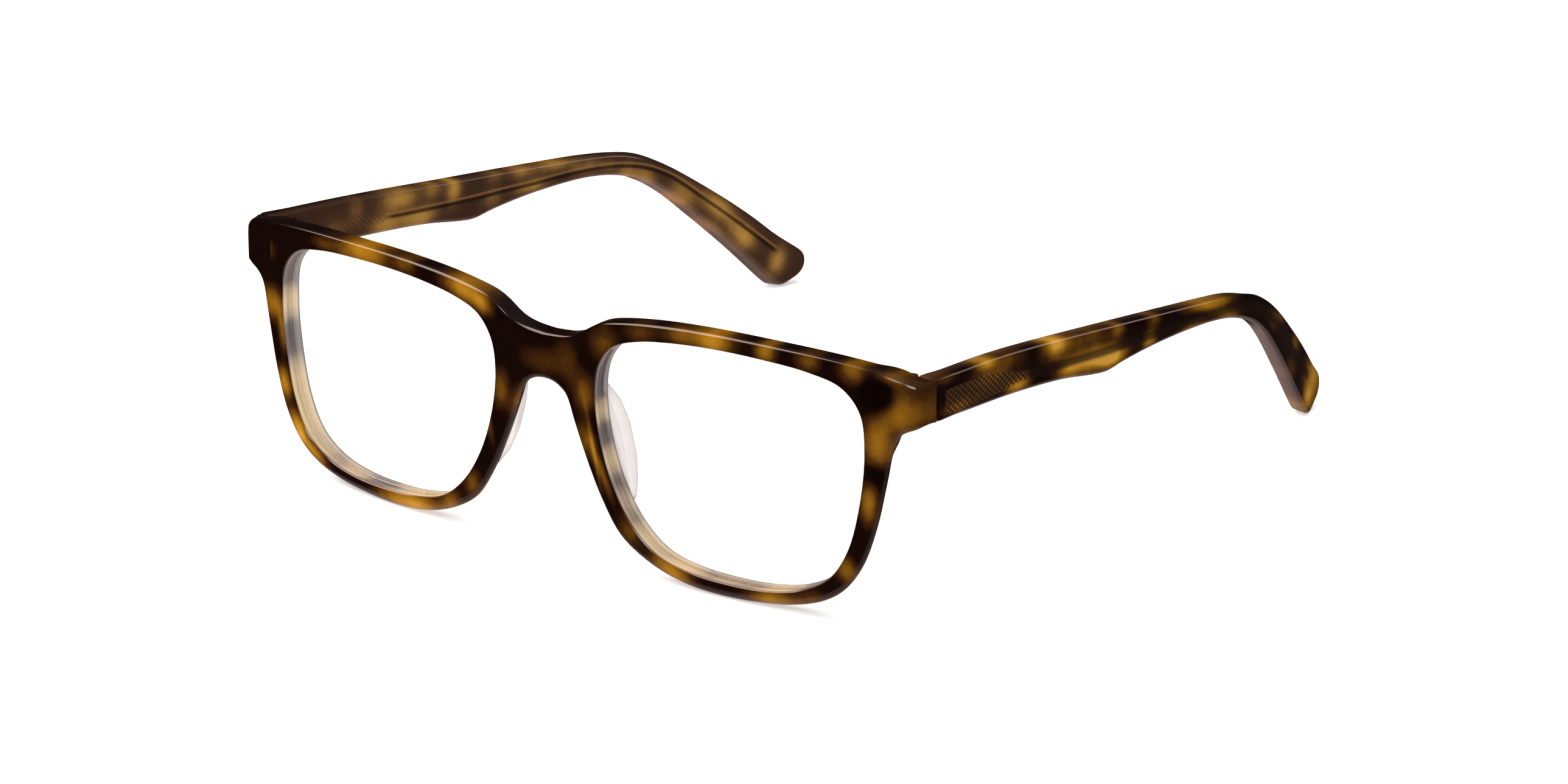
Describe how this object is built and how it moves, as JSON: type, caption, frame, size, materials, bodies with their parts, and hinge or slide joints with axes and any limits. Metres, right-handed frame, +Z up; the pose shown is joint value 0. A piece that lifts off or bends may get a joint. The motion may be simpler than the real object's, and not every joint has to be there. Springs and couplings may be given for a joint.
{
  "type": "eyeglasses frame",
  "caption": "Square full-rim acetate spectacle frame with clear lenses, glued nose pads and two folding temples on barrel hinges.",
  "frame": {"origin": "on the table under the middle of the open frame, halfway between the face of the bridge and the ear tips", "axes": "+X to the wearer's left, +Y from the front to the ear tips, +Z up; the frame stands open on its rims and tips"},
  "size_m": [0.1432, 0.1472, 0.045],
  "materials": {
    "acetate": "polished tortoise acetate, near-black brown with amber blotches",
    "lens": "clear, uncoated",
    "pad": "clear crystal acetate, polished",
    "hinge": "satin nickel silver",
    "screw": "polished",
    "core": "satin, knurled paddle"
  },
  "bodies": {
    "front": {"front_frame": "acetate", "demo_lens_left": "lens", "demo_lens_right": "lens", "nose_pad_left": "pad", "nose_pad_right": "pad", "front_hinge_left": "hinge", "front_hinge_right": "hinge", "hinge_screw_left": "screw", "hinge_screw_right": "screw"},
    "left_temple": {"temple_left": "acetate", "temple_hinge_left": "hinge", "core_wire_left": "core"},
    "right_temple": {"temple_right": "acetate", "temple_hinge_right": "hinge", "core_wire_right": "core"}
  },
  "joints": [
    {"name": "left_fold", "type": "hinge", "parent": "front", "child": "left_temple", "pos_m": [0.0659, -0.06221, 0.03899], "axis": [0, -0.0177, 0.9998], "range_deg": [0, 87]},
    {"name": "right_fold", "type": "hinge", "parent": "front", "child": "right_temple", "pos_m": [-0.0659, -0.06221, 0.03899], "axis": [0, 0.0177, -0.9998], "range_deg": [0, 78]}
  ]
}
